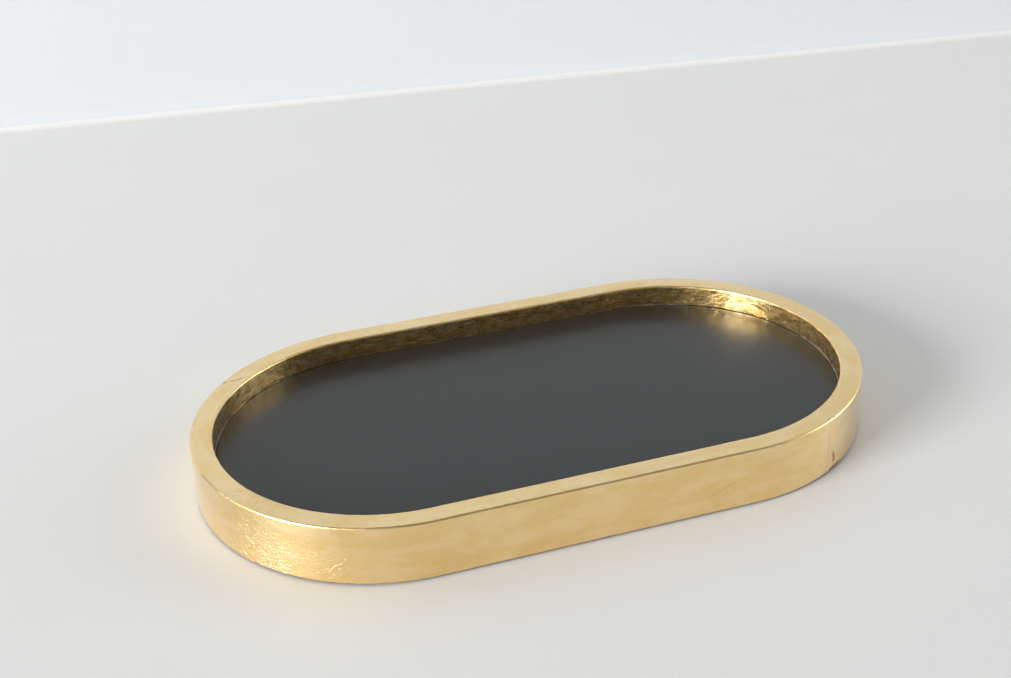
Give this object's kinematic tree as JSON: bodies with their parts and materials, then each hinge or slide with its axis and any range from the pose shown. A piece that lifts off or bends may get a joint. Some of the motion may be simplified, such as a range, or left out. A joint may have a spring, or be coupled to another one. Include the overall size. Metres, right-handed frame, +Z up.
{
  "type": "tray",
  "caption": "Shallow pill-shaped tray with a raised brass-leafed wooden rim round a black lacquered panel, standing on felt feet; holds small things on a table.",
  "frame": {"origin": "on the surface the tray stands on, under the middle of the tray", "axes": "+X along the tray's length, +Y across it towards the back, +Z up out of the recess"},
  "size_m": [0.254, 0.14, 0.023],
  "materials": {
    "brass_leaf": "satin brass leaf, wrinkled and lapped, faintly brushed, clear lacquered",
    "rim_wood": "painted with red-brown bole, matt",
    "dowel_wood": "bare beech",
    "black_lacquer": "black lacquer, satin gloss",
    "board": "painted black, matt",
    "felt": "dark felt"
  },
  "bodies": {
    "root": {"rim_front_rail": "rim_wood", "rim_back_rail": "rim_wood", "rim_left_end": "rim_wood", "rim_right_end": "rim_wood", "dowel_front_left": "dowel_wood", "dowel_back_left": "dowel_wood", "dowel_front_right": "dowel_wood", "dowel_back_right": "dowel_wood", "brass_leaf_1": "brass_leaf", "brass_leaf_2": "brass_leaf", "brass_leaf_3": "brass_leaf", "brass_leaf_4": "brass_leaf", "brass_leaf_5": "brass_leaf", "brass_leaf_6": "brass_leaf", "brass_leaf_7": "brass_leaf", "brass_leaf_8": "brass_leaf", "lacquered_panel": "black_lacquer", "base_board": "board", "felt_foot_front_left": "felt", "felt_foot_back_left": "felt", "felt_foot_front_right": "felt", "felt_foot_back_right": "felt"}
  },
  "joints": []
}
